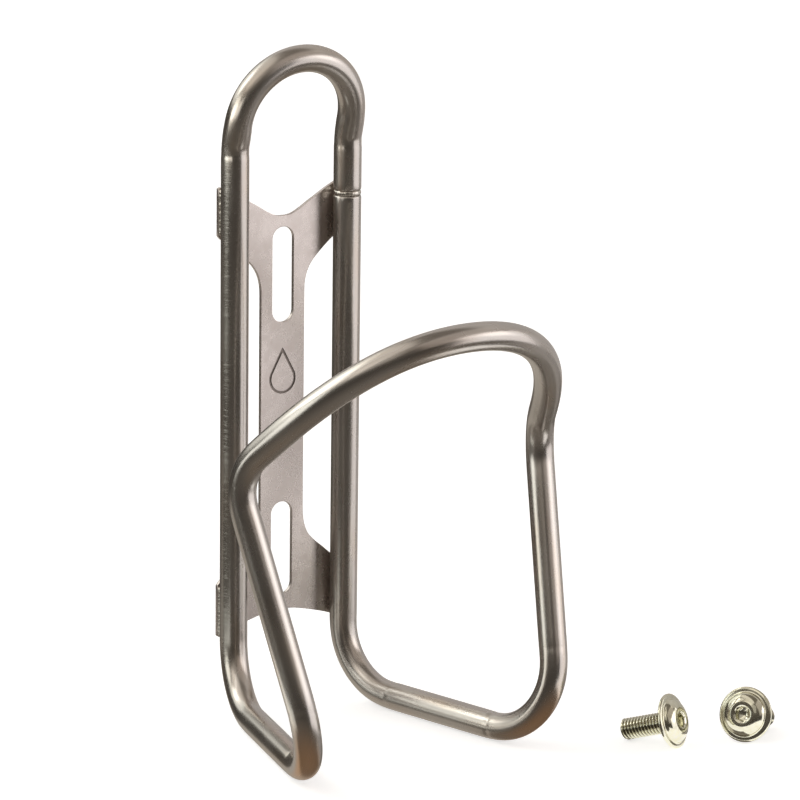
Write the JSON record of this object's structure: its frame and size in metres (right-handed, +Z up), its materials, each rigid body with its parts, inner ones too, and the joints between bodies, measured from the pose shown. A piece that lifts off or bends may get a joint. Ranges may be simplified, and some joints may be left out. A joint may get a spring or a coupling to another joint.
{
  "type": "water bottle cage",
  "caption": "Bent-tube bicycle bottle cage: a closed round-tube loop with rails, bottom arms and a forward hoop, welded to a slotted mounting plate, with loose flanged button-head bolts.",
  "frame": {"origin": "middle of the mounting plate's back face, halfway between its two bolt slots", "axes": "+Y points out of the plate's back face, into the bicycle frame; -Y is towards the bottle; +Z is up along the rails; +X is to the right as seen from the bottle's side"},
  "size_m": [0.1276, 0.0855, 0.1541],
  "materials": {
    "tube": "satin bead-polished titanium, warm grey",
    "sheet": "satin titanium sheet, slightly pinkish grey",
    "weld": "bright titanium weld",
    "bolt": "polished nickel-plated steel, slightly yellow"
  },
  "bodies": {
    "cage": {"tube_loop": "tube", "joint_sleeve": "tube", "seam_weld": "weld", "mount_plate": "sheet", "weld_upper_right": "weld", "weld_upper_left": "weld", "weld_lower_right": "weld", "weld_lower_left": "weld"},
    "bolt_left": {"bolt_left": "bolt"},
    "bolt_right": {"bolt_right": "bolt"}
  },
  "joints": [
    {"name": "bolt_left_lift", "type": "slide", "parent": "cage", "child": "bolt_left", "axis": [0, 0, 1], "range_m": [0, 0.06]},
    {"name": "bolt_right_lift", "type": "slide", "parent": "cage", "child": "bolt_right", "axis": [0, 0, 1], "range_m": [0, 0.06]}
  ]
}
